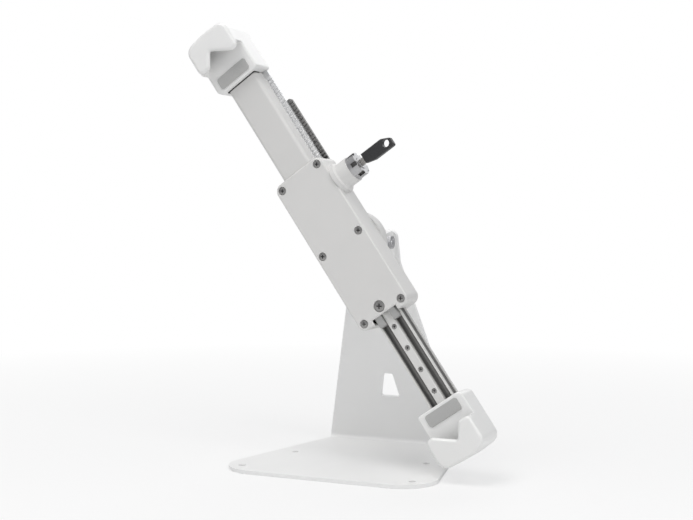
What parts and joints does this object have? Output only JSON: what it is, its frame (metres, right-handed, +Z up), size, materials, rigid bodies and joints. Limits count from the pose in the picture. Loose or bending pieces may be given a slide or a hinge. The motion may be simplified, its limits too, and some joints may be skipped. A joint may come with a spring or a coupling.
{
  "type": "tablet holder",
  "caption": "White countertop tablet stand: bent sheet stand, tilting and swivelling diagonal arms with corner clips, and a key lock that holds the arms.",
  "frame": {"origin": "underside of the base, at the middle of the base's length and on the stand's plane of symmetry", "axes": "+X to the right as seen from the front, +Y to the back where the upright rises, +Z up"},
  "size_m": [0.2477, 0.1599, 0.3489],
  "materials": {
    "powder_coat": "fine matt powder coat",
    "white_metal": "satin paint",
    "white_plastic": "fine moulded texture",
    "clip_plastic": "smooth satin",
    "grey_plastic": "matt",
    "black_plastic": "satin",
    "rubber": "matt",
    "friction": "matt",
    "steel": "plain turned",
    "screw_steel": "zinc plated",
    "zinc": "bright zinc plate",
    "dark_steel": "dark phosphate",
    "lock_metal": "satin chrome",
    "key_metal": "nickel plated"
  },
  "bodies": {
    "stand": {"stand_frame": "powder_coat", "tilt_clevis": "powder_coat", "clevis_screws": "steel", "hinge_bolt": "steel", "hinge_nut": "steel", "hinge_friction_washers": "friction"},
    "tilt_head": {"swivel_plate": "zinc"},
    "holder": {"rear_housing": "white_plastic", "front_cover": "white_plastic", "cover_screws": "screw_steel", "clamp_screw": "screw_steel", "guide_shoe_left": "grey_plastic", "guide_shoe_right": "grey_plastic", "swivel_bolt": "steel", "swivel_washer": "steel", "swivel_nut": "steel", "friction_disc": "friction", "lock_barrel": "lock_metal"},
    "upper_arm": {"upper_arm_channel": "white_metal", "upper_rack": "zinc", "upper_clip_body": "clip_plastic", "upper_clip_back": "clip_plastic", "upper_clip_screws": "screw_steel", "upper_edge_pad": "rubber", "upper_floor_pad": "rubber"},
    "lower_arm": {"lower_arm_rail": "white_metal", "lower_arm_backbone": "dark_steel", "lower_rail_screws": "screw_steel", "lower_rack": "dark_steel", "rack_spacer": "grey_plastic", "lower_clip_body": "clip_plastic", "lower_clip_back": "clip_plastic", "lower_clip_screws": "screw_steel", "lower_edge_pad": "rubber", "lower_floor_pad": "rubber"},
    "lock": {"lock_plug": "lock_metal", "lock_cam": "steel"},
    "pawl": {"locking_pawl": "steel"},
    "key": {"key_blade": "key_metal", "key_head": "black_plastic"}
  },
  "joints": [
    {"name": "tilt", "type": "hinge", "parent": "stand", "child": "tilt_head", "pos_m": [0, 0.01447, 0.1756], "axis": [-1, 0, 0], "range_deg": [0, 40]},
    {"name": "swivel", "type": "hinge", "parent": "tilt_head", "child": "holder", "pos_m": [0, -0.03603, 0.1756], "axis": [0, -1, 0], "range_deg": [0, 90]},
    {"name": "upper_arm_slide", "type": "slide", "parent": "holder", "child": "upper_arm", "axis": [-0.5664, 0, 0.8241], "range_m": [-0.0352, 0.016]},
    {"name": "lower_arm_slide", "type": "slide", "parent": "holder", "child": "lower_arm", "axis": [0.5664, 0, -0.8241], "range_m": [-0.0352, 0.0064]},
    {"name": "lock_turn", "type": "hinge", "parent": "holder", "child": "lock", "pos_m": [-0.02487, -0.02553, 0.21178], "axis": [0.8241, 0, 0.5664], "range_deg": [0, 90]},
    {"name": "pawl_slide", "type": "slide", "parent": "holder", "child": "pawl", "axis": [0, 1, 0], "range_m": [0, 0.001]},
    {"name": "key_slide", "type": "slide", "parent": "lock", "child": "key", "axis": [0.8241, 0, 0.5664], "range_m": [0, 0.024]}
  ],
  "couplings": [
    {"joint": "lock_turn", "follows": "pawl_slide", "rad_per_m": 1570.8}
  ]
}
